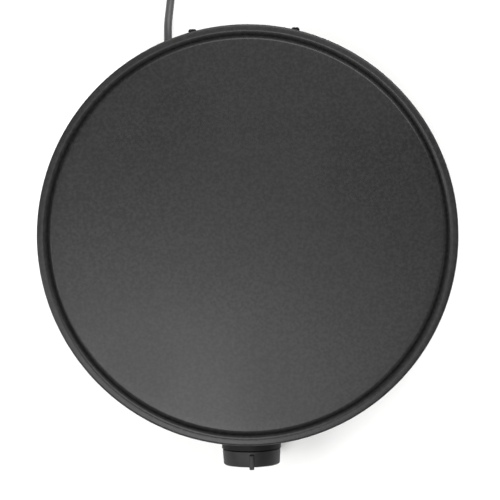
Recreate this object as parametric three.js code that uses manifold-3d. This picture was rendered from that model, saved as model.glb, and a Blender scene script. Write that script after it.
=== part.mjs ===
// A round electric griddle: a cast plate on a moulded base, with a rotary thermostat at the front
// and a mains lead at the rear. Millimetres, +Z up, the knob faces -Y, the table is at z = 0.
import * as THREE from 'three';
import { mergeVertices } from 'three/addons/utils/BufferGeometryUtils.js';
import Module from 'manifold-3d';

const wasm = await Module();
wasm.setup();

// ---- Driving dimensions ----------------------------------------------------------------------

// Clearances
const GAP = 0.3; // between pieces that rest on or pass through each other
const AIR = 5; // between the plate's hot edge and the base inside it

// Cooking plate
const PLATE_D = 300;
const PLATE_TOP = 72; // cooking surface above the table
const PLATE_WALL = 5;
const EDGE_H = 11; // height of the plate's outer edge
const EDGE_WALL = 4;
const EDGE_ROUND = 1.4;
const LIP_W = 4.1; // flat rim outside the channel
const CHANNEL_W = 7;
const CHANNEL_DEPTH = 2.8;
const CHANNEL_SHOULDER = 2; // above 1, its sides ease into the surface
const PLATE_POST_D = 12;
const PLATE_POST_H = 19;
const POST_CLEAR = 3; // between the reflector's edge and the posts
const POST_COUNT = 4;
const PLATE_SIDES = 48;

// Heating
const ELEMENT_D = 6.6;
const ELEMENT_R = 80; // mean radius of the ring
const ELEMENT_GAP_DEG = 34; // between the two ends
const ELEMENT_TAIL_H = 18; // how far the ends turn down
const ELEMENT_BEND_R = 9;
const RIB_W = 3;
const RIB_H = 5;
const PIN_D = 3;
const PIN_L = 9;
const REFLECTOR_T = 0.8;
const REFLECTOR_MARGIN = 10; // how far it reaches past the element's ring
const REFLECTOR_SCREW_R = 52;
const REFLECTOR_BOSS_D = 8;
const BULB_D = 5;
const BULB_L = 56;
const FUSE_D = 4;
const FUSE_L = 14;
const FUSE_MARGIN = 22; // from the reflector's edge to the fuse
const FUSE_DEG = -62;

// Base
const RIM_TUCK = 3; // how far the base's rim reaches up inside the plate's edge
const BASE_FLOOR_Z = 6; // underside of the base above the table
const BASE_WALL = 2.5;
const BASE_FLAT_MARGIN = 2; // the underside stays flat this far past the posts
const BASE_CORNER_W = 13; // width of the rounded corner below the sloping side
const BASE_CORNER_Z = 16;
const RIM_H = 4; // upright rim at the top of the base
const BASE_POST_D = 14;
const SPACER_T = 2;
const VENT_COUNT = 12;
const VENT_L = 24;
const VENT_W = 4;
const VENT_R = 52;
const FOOT_D = 20;
const FOOT_INSET = 16; // centre of a foot from the edge of the flat underside
const FOOT_COUNT = 4;
const FOOT_STEM_D = 5.4;
const LUG_W = 6;
const LUG_SPACING = 75;
const LUG_PROUD = 1; // how far the lugs pass the plate's edge
const LUG_Z = 24;
const LUG_H = 22;
const LUG_ROUND = 1.6;

// Control
const BOSS_D = 43.4;
const BOSS_PROUD = 5.7; // how far the control boss passes the plate's edge
const BOSS_FRONT_WALL = 2.8;
const BOSS_CLEAR = 3.3; // between the plate's edge and the boss under it
const KNOB_GAP = 0.6; // between the boss and the knob
const KNOB_STEP = 1; // how much narrower than the boss the knob's back is
const KNOB_TAPER = 1.2;
const KNOB_L = 11.3;
const KNOB_ROUND = 1.2;
const KNOB_WALL = 2.2;
const KNOB_FACE_WALL = 3;
const HUB_D = 12;
const RIDGE_W = 3.4;
const RIDGE_H = 2.2;
const RIDGE_NOSE = 1.4; // how far the ridge stands out of the face
const RIDGE_L = 23; // how far it runs down the face
const SHAFT_D = 6;
const SHAFT_FLAT = 1.2; // depth of the flat that drives the knob
const SHAFT_CLEAR = 0.15;
const SHAFT_PASS = 0.4; // clearance round the shaft in the boss's front wall
const CLIP_W = 4;
const CLIP_T = 0.6;
const THERMOSTAT = { x: 36, y: 22, z: 24 };
const THERMOSTAT_INSET = 11; // its front face from the base's lower corner
const BUSH_D = 10;
const BUSH_L = 6;
const BRACKET_T = 1;
const BRACKET_SPAN = 58;
const BRACKET_DEPTH = 12;
const BRACKET_SCREW_SPAN = 47;
const CAPILLARY_D = 1.6;
const LENS_D = 8;
const LENS_FLANGE_D = 11;
const LENS_FLANGE_T = 1.5;
const LENS_PROUD = 2.5;
const LENS_DEG = 18; // each side of the knob, about the plate's axis
const LAMP_D = 6;
const LAMP_L = 16;

// Mains lead and wiring
const CORD_D = 6;
const CORD_X = -57;
const CORD_Z = 17; // height of the outlet
const RELIEF_SHY = 4; // the strain relief ends this far inside the plate's edge
const RELIEF_WALL = 3; // its thickness round the lead at the base
const RELIEF_TIP_WALL = 1.2;
const OUTLET_WALL = 3;
const OUTLET_PROUD = 1.2; // how far it passes the wall above it
const CLAMP = { x: 28, y: 8, z: 5 };
const CLAMP_MARGIN = 2.3; // between the cord clamp and the base's wall
const BLOCK = { x: 30, y: 16, z: 14 };
const BLOCK_X = -41;
const BLOCK_Y = 41;
const BLOCK_PITCH = 9; // between its three terminals
const BLOCK_PAD_H = 1; // the pad that it stands on
const WIRE_D = 2.2;
const COIL_X = -16.7; // middle of the coil
const COIL_OUTER_R = 38.3; // centreline of the outer turn
const COIL_BEHIND = 90; // middle of the coil behind the plate's edge
const COIL_LIFT = 1.3; // the tie passes under the turns
const TIE_W = 5;
const TIE_T = 0.8;
const PLUG_D = 36;
const PLUG_BODY_L = 36;
const PLUG_NECK_L = 26;
const PLUG_START_X = 34;
const PLUG_PIN_D = 4.8;
const PLUG_PIN_L = 19;
const PLUG_PIN_SPACING = 19;

// ---- Sizes that follow -----------------------------------------------------------------------

const PLATE_R = PLATE_D / 2;
const REFLECTOR_R = ELEMENT_R + REFLECTOR_MARGIN;
const POST_RING_R = REFLECTOR_R + POST_CLEAR + PLATE_POST_D / 2;
const FUSE_R = REFLECTOR_R + FUSE_MARGIN;
const PLATE_UNDER = PLATE_TOP - PLATE_WALL;
const EDGE_BOTTOM = PLATE_TOP - EDGE_H;
const PLATE_POST_END = PLATE_UNDER - PLATE_POST_H;
const ELEMENT_Z = PLATE_UNDER - GAP - ELEMENT_D / 2;
const REFLECTOR_TOP = ELEMENT_Z - ELEMENT_D / 2 - GAP;
const BASE_TOP_H = EDGE_BOTTOM + RIM_TUCK;
const BASE_FLOOR_TOP = BASE_FLOOR_Z + BASE_WALL;
const BASE_FOOT_R = POST_RING_R + BASE_POST_D / 2 + BASE_FLAT_MARGIN;
const BASE_CORNER_R = BASE_FOOT_R + BASE_CORNER_W;
const BASE_RIM_R = PLATE_R - EDGE_WALL - AIR;
const BASE_POST_TOP = PLATE_POST_END - SPACER_T - 2 * GAP;
const FOOT_RING_R = BASE_FOOT_R - FOOT_INSET;
const LUG_REAR = PLATE_R + LUG_PROUD;
const AXIS_Z = EDGE_BOTTOM - BOSS_CLEAR - BOSS_D / 2;
const BOSS_FRONT = PLATE_R + BOSS_PROUD;
const KNOB_BACK_D = BOSS_D - KNOB_STEP;
const KNOB_FACE_D = KNOB_BACK_D - KNOB_TAPER;
const KNOB_BACK_Y = -BOSS_FRONT - KNOB_GAP;
const THERMOSTAT_FRONT = BASE_CORNER_R - THERMOSTAT_INSET;
const CORD_R = CORD_D / 2;
const RELIEF_END = PLATE_R - RELIEF_SHY;
const RELIEF_BASE_D = CORD_D + 2 * RELIEF_WALL;
const RELIEF_TIP_D = CORD_D + 2 * RELIEF_TIP_WALL;
const OUTLET_D = RELIEF_BASE_D + 2 * OUTLET_WALL;
const OUTLET_END = OUTLET_PROUD
  + Math.sqrt(baseRadius(CORD_Z + OUTLET_D / 2) ** 2 - (Math.abs(CORD_X) - OUTLET_D / 2) ** 2);
const CLAMP_Y = Math.sqrt((BASE_CORNER_R - BASE_WALL) ** 2 - (Math.abs(CORD_X) + CLAMP.x / 2) ** 2)
  - CLAMP.y / 2 - CLAMP_MARGIN;
const COIL_Y = PLATE_R + COIL_BEHIND;
const COIL_TRACK = CORD_D + GAP; // spacing of the turns

// The base's outer radius on its sloping side.
function baseRadius(z) {
  const slope = (BASE_RIM_R - BASE_CORNER_R) / (BASE_TOP_H - RIM_H - BASE_CORNER_Z);
  return BASE_CORNER_R + (z - BASE_CORNER_Z) * slope;
}

// The radius of the same wall's inner face.
function baseInnerRadius(z) {
  const low = BASE_CORNER_Z + BASE_WALL / 2;
  const slope = (BASE_RIM_R - BASE_CORNER_R) / (BASE_TOP_H - RIM_H - low);
  return BASE_CORNER_R - BASE_WALL + (z - low) * slope;
}

// ---- Finishes --------------------------------------------------------------------------------

const COATING = { color: 0x4a4a4a, roughness: 0.55, metalness: 0.15 };
const BLACK_PLASTIC = { color: 0x1d1d1d, roughness: 0.55, metalness: 0 };
const GLOSS_PLASTIC = { color: 0x242424, roughness: 0.35, metalness: 0 };
const STEEL = { color: 0xb9bbbd, roughness: 0.35, metalness: 1 };
const SPRING_STEEL = { color: 0x8c8f93, roughness: 0.4, metalness: 1 };
const SHEATH = { color: 0x6d6f70, roughness: 0.5, metalness: 0.8 };
const COPPER = { color: 0xb8733a, roughness: 0.4, metalness: 1 };
const PHENOLIC = { color: 0x3a2a20, roughness: 0.6, metalness: 0 };
const MICA = { color: 0xb8ab8c, roughness: 0.7, metalness: 0 };
const RUBBER = { color: 0x151515, roughness: 0.9, metalness: 0 };
const NYLON = { color: 0xd9d6cc, roughness: 0.6, metalness: 0 };
const RED_LENS = { color: 0xa01812, roughness: 0.15, metalness: 0 };
const GREEN_LENS = { color: 0x1f7a38, roughness: 0.15, metalness: 0 };
const LAMP_GLASS = { color: 0xe8e2d8, roughness: 0.1, metalness: 0 };
const NICKEL = { color: 0xc8c4b8, roughness: 0.25, metalness: 1 };
const BROWN_WIRE = { color: 0x5a3420, roughness: 0.6, metalness: 0 };
const BLUE_WIRE = { color: 0x2f5fa8, roughness: 0.6, metalness: 0 };
const EARTH_WIRE = { color: 0x7a9a2a, roughness: 0.6, metalness: 0 };

// ---- Helpers ---------------------------------------------------------------------------------

const griddle = new THREE.Group();

function add(name, geometry, finish) {
  const mesh = new THREE.Mesh(geometry, new THREE.MeshStandardMaterial(finish));
  mesh.name = name;
  griddle.add(mesh);
}

function toSolid(geometry) {
  const bare = geometry.index ? geometry.toNonIndexed() : geometry.clone();
  bare.deleteAttribute('normal');
  bare.deleteAttribute('uv');
  const merged = mergeVertices(bare, 1e-4);
  const corners = merged.index.array;
  const triVerts = [];
  for (let i = 0; i < corners.length; i += 3) {
    const [a, b, c] = corners.slice(i, i + 3);
    if (a !== b && b !== c && c !== a) triVerts.push(a, b, c);
  }
  return new wasm.Manifold(new wasm.Mesh({
    numProp: 3,
    vertProperties: merged.attributes.position.array,
    triVerts: new Uint32Array(triVerts),
  }));
}

function toGeometry(solid) {
  const mesh = solid.getMesh();
  const geometry = new THREE.BufferGeometry();
  geometry.setAttribute('position', new THREE.BufferAttribute(mesh.vertProperties, 3));
  geometry.setIndex(new THREE.BufferAttribute(mesh.triVerts, 1));
  return geometry;
}

function join(...pieces) {
  return toGeometry(pieces.map(toSolid).reduce((whole, piece) => whole.add(piece)));
}

function cut(piece, ...tools) {
  return toGeometry(tools.map(toSolid).reduce((left, tool) => left.subtract(tool), toSolid(piece)));
}

// A solid of revolution about Z from [radius, height] points, listed from the bottom outwards and up.
function turned(profile, sides = 16) {
  const points = profile.map(([r, z]) => new THREE.Vector2(r, z));
  return new THREE.LatheGeometry(points, sides).rotateX(Math.PI / 2);
}

// A round bar from one point to another.
function rod(diameter, from, to, sides = 16) {
  const start = new THREE.Vector3(...from);
  const along = new THREE.Vector3(...to).sub(start);
  const bar = new THREE.CylinderGeometry(diameter / 2, diameter / 2, along.length(), sides);
  bar.translate(0, along.length() / 2, 0);
  const turn = new THREE.Quaternion().setFromUnitVectors(
    new THREE.Vector3(0, 1, 0), along.clone().normalize());
  return bar.applyQuaternion(turn).translate(...start.toArray());
}

function block(size, centre) {
  return new THREE.BoxGeometry(...size).translate(...centre);
}

// A round tube's solid along a smooth curve through the points.
function alongCurve(points, diameter, steps, sides = 8) {
  const outline = [];
  for (let i = 0; i < sides; i++) {
    const angle = (i / sides) * 2 * Math.PI;
    outline.push(new THREE.Vector2(Math.cos(angle), Math.sin(angle)).multiplyScalar(diameter / 2));
  }
  const places = points.map((point) => new THREE.Vector3(...point));
  const extrudePath = new THREE.CatmullRomCurve3(places, false, 'centripetal');
  return new THREE.ExtrudeGeometry(new THREE.Shape(outline), { steps, extrudePath, bevelEnabled: false });
}

function polar(radius, degrees) {
  const angle = THREE.MathUtils.degToRad(degrees);
  return [radius * Math.cos(angle), radius * Math.sin(angle)];
}

// The places of a number of pieces spread evenly on a circle, from a first angle.
function ring(count, radius, firstDegrees) {
  return Array.from({ length: count }, (_, i) => polar(radius, firstDegrees + (i * 360) / count));
}

const M4 = { shank: 3.4, head: 8, headH: 2.6 };
const M3 = { shank: 2.6, head: 5.6, headH: 1.9 };

// A pan-head screw with its head's seat at z = 0, its shank pointing up or down.
function screw({ shank, head, headH }, length, up) {
  const body = turned([
    [0, -headH], [head * 0.32, -headH], [head / 2, -headH * 0.45], [head / 2, 0],
    [shank / 2, 0], [shank / 2, length], [0, length],
  ], 10);
  return up ? body : body.rotateX(Math.PI);
}

function holeFor(screwSize) {
  return screwSize.shank + 2 * GAP;
}

const postPlaces = ring(POST_COUNT, POST_RING_R, 45);
const reflectorScrewPlaces = ring(3, REFLECTOR_SCREW_R, 90);
const footPlaces = ring(FOOT_COUNT, FOOT_RING_R, 0);
const earthPlace = polar(POST_RING_R, 172);

// ---- Cooking plate ---------------------------------------------------------------------------

// A cast disc with a deeper edge. A channel with soft shoulders and a narrow bottom runs inside
// its flat lip. Underneath, two ribs hold the element, and posts take the screws.
function cookingPlate() {
  const channelOuter = PLATE_R - LIP_W;
  const channelMid = channelOuter - CHANNEL_W / 2;
  const ribInner = ELEMENT_R - ELEMENT_D / 2 - 2 * GAP;
  const ribOuter = ELEMENT_R + ELEMENT_D / 2 + 2 * GAP;
  const profile = [
    [0, PLATE_UNDER],
    [ribInner - RIB_W, PLATE_UNDER], [ribInner - RIB_W, PLATE_UNDER - RIB_H],
    [ribInner, PLATE_UNDER - RIB_H], [ribInner, PLATE_UNDER],
    [ribOuter, PLATE_UNDER], [ribOuter, PLATE_UNDER - RIB_H],
    [ribOuter + RIB_W, PLATE_UNDER - RIB_H], [ribOuter + RIB_W, PLATE_UNDER],
    [PLATE_R - EDGE_WALL, PLATE_UNDER], [PLATE_R - EDGE_WALL, EDGE_BOTTOM],
    [PLATE_R - EDGE_WALL / 4, EDGE_BOTTOM], [PLATE_R, EDGE_BOTTOM + EDGE_WALL / 4],
  ];
  for (let i = 0; i <= 3; i++) {
    const angle = (i / 3) * (Math.PI / 2);
    profile.push([
      PLATE_R - EDGE_ROUND * (1 - Math.cos(angle)),
      PLATE_TOP - EDGE_ROUND * (1 - Math.sin(angle)),
    ]);
  }
  for (let i = 0; i <= 8; i++) {
    const across = 1 - i / 4;
    profile.push([
      channelMid + (CHANNEL_W / 2) * across,
      PLATE_TOP - CHANNEL_DEPTH * (1 - Math.abs(across)) ** CHANNEL_SHOULDER,
    ]);
  }
  profile.push([0, PLATE_TOP]);

  const posts = postPlaces.map(([x, y]) => (
    rod(PLATE_POST_D, [x, y, PLATE_POST_END], [x, y, PLATE_UNDER + 1])));
  const smallBosses = [...reflectorScrewPlaces, earthPlace].map(([x, y]) => (
    rod(REFLECTOR_BOSS_D, [x, y, REFLECTOR_TOP + GAP], [x, y, PLATE_UNDER + 1], 12)));
  const postHoles = postPlaces.map(([x, y]) => (
    rod(holeFor(M4), [x, y, PLATE_POST_END - 1], [x, y, PLATE_UNDER - 2], 10)));
  const smallHoles = [...reflectorScrewPlaces, earthPlace].map(([x, y]) => (
    rod(holeFor(M3), [x, y, REFLECTOR_TOP - 1], [x, y, PLATE_UNDER], 10)));
  return cut(join(turned(profile, PLATE_SIDES), ...posts, ...smallBosses), ...postHoles, ...smallHoles);
}

add('cooking_plate', cookingPlate(), COATING);

// ---- Heating element, its pins and the reflector ---------------------------------------------

// The ring's two ends are at the rear. Each turns down in a bend through the reflector.
const elementEnds = [90 + ELEMENT_GAP_DEG / 2, 90 - ELEMENT_GAP_DEG / 2];

// A place straight on past one end of the ring's arc.
function elementPast(degrees, side, distance) {
  const [x, y] = polar(ELEMENT_R, degrees);
  const [alongX, alongY] = polar(side * distance, degrees + 90);
  return [x + alongX, y + alongY];
}

// The points of one end: from the foot of the tail up to where the ring's arc begins.
function elementTail(degrees, side) {
  const points = [[ELEMENT_BEND_R, ELEMENT_TAIL_H], [ELEMENT_BEND_R, ELEMENT_BEND_R * 1.3]];
  for (let i = 1; i <= 3; i++) {
    const turn = (i / 4) * (Math.PI / 2);
    points.push([ELEMENT_BEND_R * Math.cos(turn), ELEMENT_BEND_R * (1 - Math.sin(turn))]);
  }
  return points.map(([out, down]) => [...elementPast(degrees, side, out), ELEMENT_Z - down]);
}

function heatingElement() {
  const points = elementTail(elementEnds[0], -1);
  const sweep = 360 - ELEMENT_GAP_DEG;
  const stops = 20;
  for (let i = 0; i <= stops; i++) {
    points.push([...polar(ELEMENT_R, elementEnds[0] + (sweep * i) / stops), ELEMENT_Z]);
  }
  points.push(...elementTail(elementEnds[1], 1).reverse());
  return alongCurve(points, ELEMENT_D, 42, 8);
}

add('heating_element', heatingElement(), SHEATH);

const pinPlaces = [elementTail(elementEnds[0], -1)[0], elementTail(elementEnds[1], 1)[0]];

pinPlaces.forEach(([x, y, z], i) => {
  const top = z - GAP;
  const pin = rod(PIN_D, [x, y, top - PIN_L / 2], [x, y, top], 12);
  const tab = block([6.3, 0.8, PIN_L], [x, y, top - PIN_L]);
  add(`element_pin_${i + 1}`, join(pin, tab), STEEL);
});

// A pressed disc under the element, with a turned-down edge.
function heatReflector() {
  const inner = REFLECTOR_R - REFLECTOR_T;
  const top = REFLECTOR_TOP;
  const disc = turned([
    [0, top - REFLECTOR_T], [inner, top - REFLECTOR_T], [inner, top - 5],
    [REFLECTOR_R, top - 5], [REFLECTOR_R, top - REFLECTOR_T], [inner, top], [0, top],
  ], 36);
  const through = (diameter, x, y) => rod(diameter, [x, y, top - 9], [x, y, top + 1], 12);
  const screwHoles = reflectorScrewPlaces.map(([x, y]) => through(holeFor(M3), x, y));
  const tailHoles = elementEnds.flatMap((degrees, i) => [0.3, 0.65, 1].map((share) => {
    const [x, y] = elementPast(degrees, i ? 1 : -1, share * ELEMENT_BEND_R);
    return through(ELEMENT_D + 6, x, y);
  }));
  return cut(disc, ...screwHoles, ...tailHoles, through(CAPILLARY_D + 4, 0, -BULB_L / 2 - 12));
}

add('heat_reflector', heatReflector(), STEEL);

reflectorScrewPlaces.forEach(([x, y], i) => {
  const seat = REFLECTOR_TOP - REFLECTOR_T - GAP;
  add(`reflector_screw_${i + 1}`, screw(M3, PLATE_UNDER - seat - 1.5, true).translate(x, y, seat), STEEL);
});

// ---- Thermostat, its bulb and bracket --------------------------------------------------------

const bulbZ = PLATE_UNDER - GAP - BULB_D / 2;
const thermostatBack = -THERMOSTAT_FRONT + THERMOSTAT.y;
const tabZ = AXIS_Z - 4;
const tabXs = [-10, 10];

function thermostatBody() {
  const middle = [0, -THERMOSTAT_FRONT + THERMOSTAT.y / 2, AXIS_Z];
  const housing = block([THERMOSTAT.x, THERMOSTAT.y, THERMOSTAT.z], middle);
  const bush = rod(BUSH_D, [0, -THERMOSTAT_FRONT - BUSH_L, AXIS_Z], [0, middle[1], AXIS_Z]);
  const tabs = tabXs.map((x) => block([6.3, 9, 0.8], [x, thermostatBack + 3.5, tabZ]));
  const bore = rod(
    SHAFT_D + 2 * SHAFT_CLEAR, [0, -THERMOSTAT_FRONT - BUSH_L - 1, AXIS_Z], [0, middle[1], AXIS_Z]);
  return cut(join(housing, bush, ...tabs), bore);
}

add('thermostat_body', thermostatBody(), PHENOLIC);

// An angle of sheet steel: the upright takes the thermostat's bush, the foot is screwed down.
const bracketFront = -THERMOSTAT_FRONT - GAP - BRACKET_T;
const bracketFootTop = AXIS_Z - THERMOSTAT.z / 2 - 6;
const bracketScrewY = bracketFront + BRACKET_DEPTH / 2;
const bracketScrewXs = [-BRACKET_SCREW_SPAN / 2, BRACKET_SCREW_SPAN / 2];

function thermostatBracket() {
  const height = AXIS_Z + THERMOSTAT.z / 2 - bracketFootTop + BRACKET_T;
  const upright = block(
    [THERMOSTAT.x, BRACKET_T, height],
    [0, bracketFront + BRACKET_T / 2, bracketFootTop - BRACKET_T + height / 2]);
  const foot = block(
    [BRACKET_SPAN, BRACKET_DEPTH, BRACKET_T],
    [0, bracketFront + BRACKET_DEPTH / 2, bracketFootTop - BRACKET_T / 2]);
  const bushHole = rod(
    BUSH_D + 2 * GAP, [0, bracketFront - 1, AXIS_Z], [0, bracketFront + BRACKET_T + 1, AXIS_Z]);
  const screwHoles = bracketScrewXs.map((x) => rod(
    holeFor(M3), [x, bracketScrewY, bracketFootTop - 3], [x, bracketScrewY, bracketFootTop + 1], 12));
  return cut(join(upright, foot), bushHole, ...screwHoles);
}

add('thermostat_bracket', thermostatBracket(), STEEL);

const bracketScrewL = bracketFootTop - BASE_FLOOR_TOP - 1;
bracketScrewXs.forEach((x, i) => {
  const body = screw(M3, bracketScrewL, false).translate(x, bracketScrewY, bracketFootTop + GAP);
  add(`bracket_screw_${i + 1}`, body, STEEL);
});

add('thermostat_bulb', rod(BULB_D, [0, -BULB_L / 2, bulbZ], [0, BULB_L / 2, bulbZ], 12), COPPER);

// The capillary leaves the bulb, passes down through the reflector and loops to the thermostat.
const capillaryDrop = -BULB_L / 2 - 12;
add('capillary_tube', alongCurve([
  [0, -BULB_L / 2 - GAP, bulbZ], [0, -BULB_L / 2 - 6, bulbZ - 0.4],
  [0, capillaryDrop + 1, bulbZ - 4], [0, capillaryDrop, REFLECTOR_TOP - 3],
  [2, capillaryDrop - 2, REFLECTOR_TOP - 12], [8, capillaryDrop - 18, AXIS_Z + 10],
  [2, thermostatBack + 12, AXIS_Z + 5], [0, thermostatBack + 3, AXIS_Z + 4],
  [0, thermostatBack + 2 * GAP, AXIS_Z + 4],
], CAPILLARY_D, 20, 6), COPPER);

// A strip bent to a shallow U, which presses the bulb to the plate.
function bulbClip() {
  const low = bulbZ - BULB_D / 2 - GAP;
  const thick = 0.5;
  const half = BULB_D / 2 + GAP;
  const wide = 10;
  const under = block([2 * half + 2 * thick, wide, thick], [0, 0, low - thick / 2]);
  const sides = [-1, 1].map((side) => block(
    [thick, wide, PLATE_UNDER - GAP - low + thick],
    [side * (half + thick / 2), 0, (PLATE_UNDER - GAP + low - thick) / 2]));
  const feet = [-1, 1].map((side) => block(
    [6, wide, thick], [side * (half + 3), 0, PLATE_UNDER - GAP - thick / 2]));
  return join(under, ...sides, ...feet);
}

add('bulb_clip', bulbClip(), SPRING_STEEL);

// ---- Thermal fuse ----------------------------------------------------------------------------

const fuseZ = PLATE_UNDER - 2 * GAP - 0.5 - FUSE_D / 2;
const fuseMiddle = polar(FUSE_R, FUSE_DEG);
const fuseAlong = polar(1, FUSE_DEG + 90);
const fuseEnd = (side) => [
  fuseMiddle[0] + (side * fuseAlong[0] * FUSE_L) / 2,
  fuseMiddle[1] + (side * fuseAlong[1] * FUSE_L) / 2,
  fuseZ,
];

add('thermal_fuse', rod(FUSE_D, fuseEnd(-1), fuseEnd(1), 12), NICKEL);

// A clip that wraps the fuse, open below.
function fuseClip() {
  const outer = FUSE_D + 2 * GAP + 1;
  const half = FUSE_L * 0.28;
  const at = (side) => [
    fuseMiddle[0] + side * fuseAlong[0] * half, fuseMiddle[1] + side * fuseAlong[1] * half, fuseZ];
  const sleeve = rod(outer, at(-1), at(1), 16);
  const room = rod(FUSE_D + 2 * GAP, fuseEnd(-1), fuseEnd(1), 16);
  const mouth = block([FUSE_L, FUSE_D * 0.7, FUSE_D], [0, 0, 0])
    .rotateZ(THREE.MathUtils.degToRad(FUSE_DEG + 90))
    .translate(fuseMiddle[0], fuseMiddle[1], fuseZ - FUSE_D / 2 - 0.6);
  return cut(sleeve, room, mouth);
}

add('fuse_clip', fuseClip(), SPRING_STEEL);

// ---- Base shell ------------------------------------------------------------------------------

// The outline of the solid bowl, moved inwards and up by a wall.
function bowl(wall, top) {
  const corner = [BASE_CORNER_R - wall, BASE_CORNER_Z + wall / 2];
  const flat = [BASE_FOOT_R - wall * 0.2, BASE_FLOOR_Z + wall];
  return turned([
    [0, flat[1]], flat,
    [flat[0] + (corner[0] - flat[0]) * 0.66, flat[1] + (corner[1] - flat[1]) * 0.3],
    corner, [BASE_RIM_R - wall, BASE_TOP_H - RIM_H], [BASE_RIM_R - wall, top], [0, top],
  ], PLATE_SIDES);
}

// A lug's plan: a straight bar with its two rear corners rounded.
function lug(x) {
  const half = LUG_W / 2;
  const plan = new THREE.Shape();
  plan.moveTo(-half, baseRadius(LUG_Z) - 20);
  plan.lineTo(half, baseRadius(LUG_Z) - 20);
  plan.lineTo(half, LUG_REAR - LUG_ROUND);
  plan.absarc(half - LUG_ROUND, LUG_REAR - LUG_ROUND, LUG_ROUND, 0, Math.PI / 2);
  plan.absarc(-half + LUG_ROUND, LUG_REAR - LUG_ROUND, LUG_ROUND, Math.PI / 2, Math.PI);
  plan.closePath();
  const options = { depth: LUG_H, bevelEnabled: false, curveSegments: 3 };
  return new THREE.ExtrudeGeometry(plan, options).translate(x, 0, LUG_Z);
}

// A vent: a slot through the floor that points away from the middle.
function vent(degrees) {
  return block([VENT_L, VENT_W, 4 * BASE_WALL], [VENT_R, 0, BASE_FLOOR_TOP])
    .rotateZ(THREE.MathUtils.degToRad(degrees));
}

const lensPlaces = [-90 - LENS_DEG, -90 + LENS_DEG];
const clampScrewXs = [CORD_X - 10, CORD_X + 10];

function baseShell() {
  const inside = bowl(BASE_WALL, BASE_TOP_H + 1);
  const outside = join(
    bowl(0, BASE_TOP_H),
    rod(BOSS_D, [0, -BOSS_FRONT, AXIS_Z], [0, -BOSS_FRONT + 50, AXIS_Z], 32),
    lug(-LUG_SPACING / 2), lug(LUG_SPACING / 2),
    rod(OUTLET_D, [CORD_X, CLAMP_Y, CORD_Z], [CORD_X, OUTLET_END, CORD_Z], 20),
  );
  const bossRoom = rod(
    BOSS_D - 2 * BASE_WALL, [0, -BOSS_FRONT + BOSS_FRONT_WALL, AXIS_Z], [0, -BASE_FOOT_R + 12, AXIS_Z], 32);
  const hollow = cut(outside, inside, bossRoom);

  const posts = postPlaces.map(([x, y]) => (
    rod(BASE_POST_D, [x, y, BASE_FLOOR_Z + 1], [x, y, BASE_POST_TOP])));
  const bracketPosts = bracketScrewXs.map((x) => rod(
    9, [x, bracketScrewY, BASE_FLOOR_Z + 1], [x, bracketScrewY, bracketFootTop - BRACKET_T - GAP]));
  const saddleTop = CORD_Z - GAP / 2;
  const saddle = block(
    [CLAMP.x, CLAMP.y, saddleTop - BASE_FLOOR_Z - 1],
    [CORD_X, CLAMP_Y, (saddleTop + BASE_FLOOR_Z + 1) / 2]);
  const blockPad = rod(
    8, [BLOCK_X, BLOCK_Y, BASE_FLOOR_Z + 1], [BLOCK_X, BLOCK_Y, BASE_FLOOR_TOP + BLOCK_PAD_H]);

  const holes = [
    ...postPlaces.map(([x, y]) => rod(holeFor(M4), [x, y, 0], [x, y, BASE_POST_TOP + 1], 10)),
    ...postPlaces.map(([x, y]) => rod(M4.head + 1.4, [x, y, 0], [x, y, BASE_FLOOR_Z + 6])),
    ...footPlaces.map(([x, y]) => rod(FOOT_STEM_D + 2 * GAP, [x, y, 0], [x, y, BASE_FLOOR_TOP + 1], 16)),
    ...bracketScrewXs.map((x) => rod(
      holeFor(M3), [x, bracketScrewY, BASE_FLOOR_TOP], [x, bracketScrewY, AXIS_Z], 10)),
    ...clampScrewXs.map((x) => rod(holeFor(M3), [x, CLAMP_Y, BASE_FLOOR_TOP], [x, CLAMP_Y, CORD_Z + 4], 10)),
    rod(holeFor(M3), [BLOCK_X, BLOCK_Y, BASE_FLOOR_Z + 1], [BLOCK_X, BLOCK_Y, CORD_Z], 10),
    rod(CORD_D + 2 * GAP, [CORD_X, CLAMP_Y - 9, CORD_Z], [CORD_X, CLAMP_Y + 9, CORD_Z], 12),
    rod(RELIEF_BASE_D - 2, [CORD_X, CLAMP_Y + 6, CORD_Z], [CORD_X, OUTLET_END + 1, CORD_Z]),
    rod(
      SHAFT_D + 2 * SHAFT_PASS,
      [0, -BOSS_FRONT - 1, AXIS_Z], [0, -BOSS_FRONT + BOSS_FRONT_WALL + 1, AXIS_Z]),
    ...lensPlaces.map((degrees) => rod(
      LENS_D + 2 * GAP,
      [...polar(baseRadius(AXIS_Z) - 14, degrees), AXIS_Z],
      [...polar(baseRadius(AXIS_Z) + 8, degrees), AXIS_Z])),
  ];
  for (let i = 0; i < VENT_COUNT; i++) {
    holes.push(vent((i * 360) / VENT_COUNT));
  }
  return cut(join(hollow, ...posts, ...bracketPosts, saddle, blockPad), ...holes);
}

add('base_shell', baseShell(), BLACK_PLASTIC);

// ---- Plate screws, spacers and feet ----------------------------------------------------------

postPlaces.forEach(([x, y], i) => {
  const spacer = turned([
    [holeFor(M4) / 2, 0], [BASE_POST_D / 2, 0], [BASE_POST_D / 2, SPACER_T],
    [holeFor(M4) / 2, SPACER_T], [holeFor(M4) / 2, 0],
  ], 20);
  add(`plate_spacer_${i + 1}`, spacer.translate(x, y, BASE_POST_TOP + GAP), MICA);
  const seat = BASE_FLOOR_Z + 6 - GAP;
  const reach = PLATE_UNDER - 4 - seat;
  add(`plate_screw_${i + 1}`, screw(M4, reach, true).translate(x, y, seat), STEEL);
});

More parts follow.
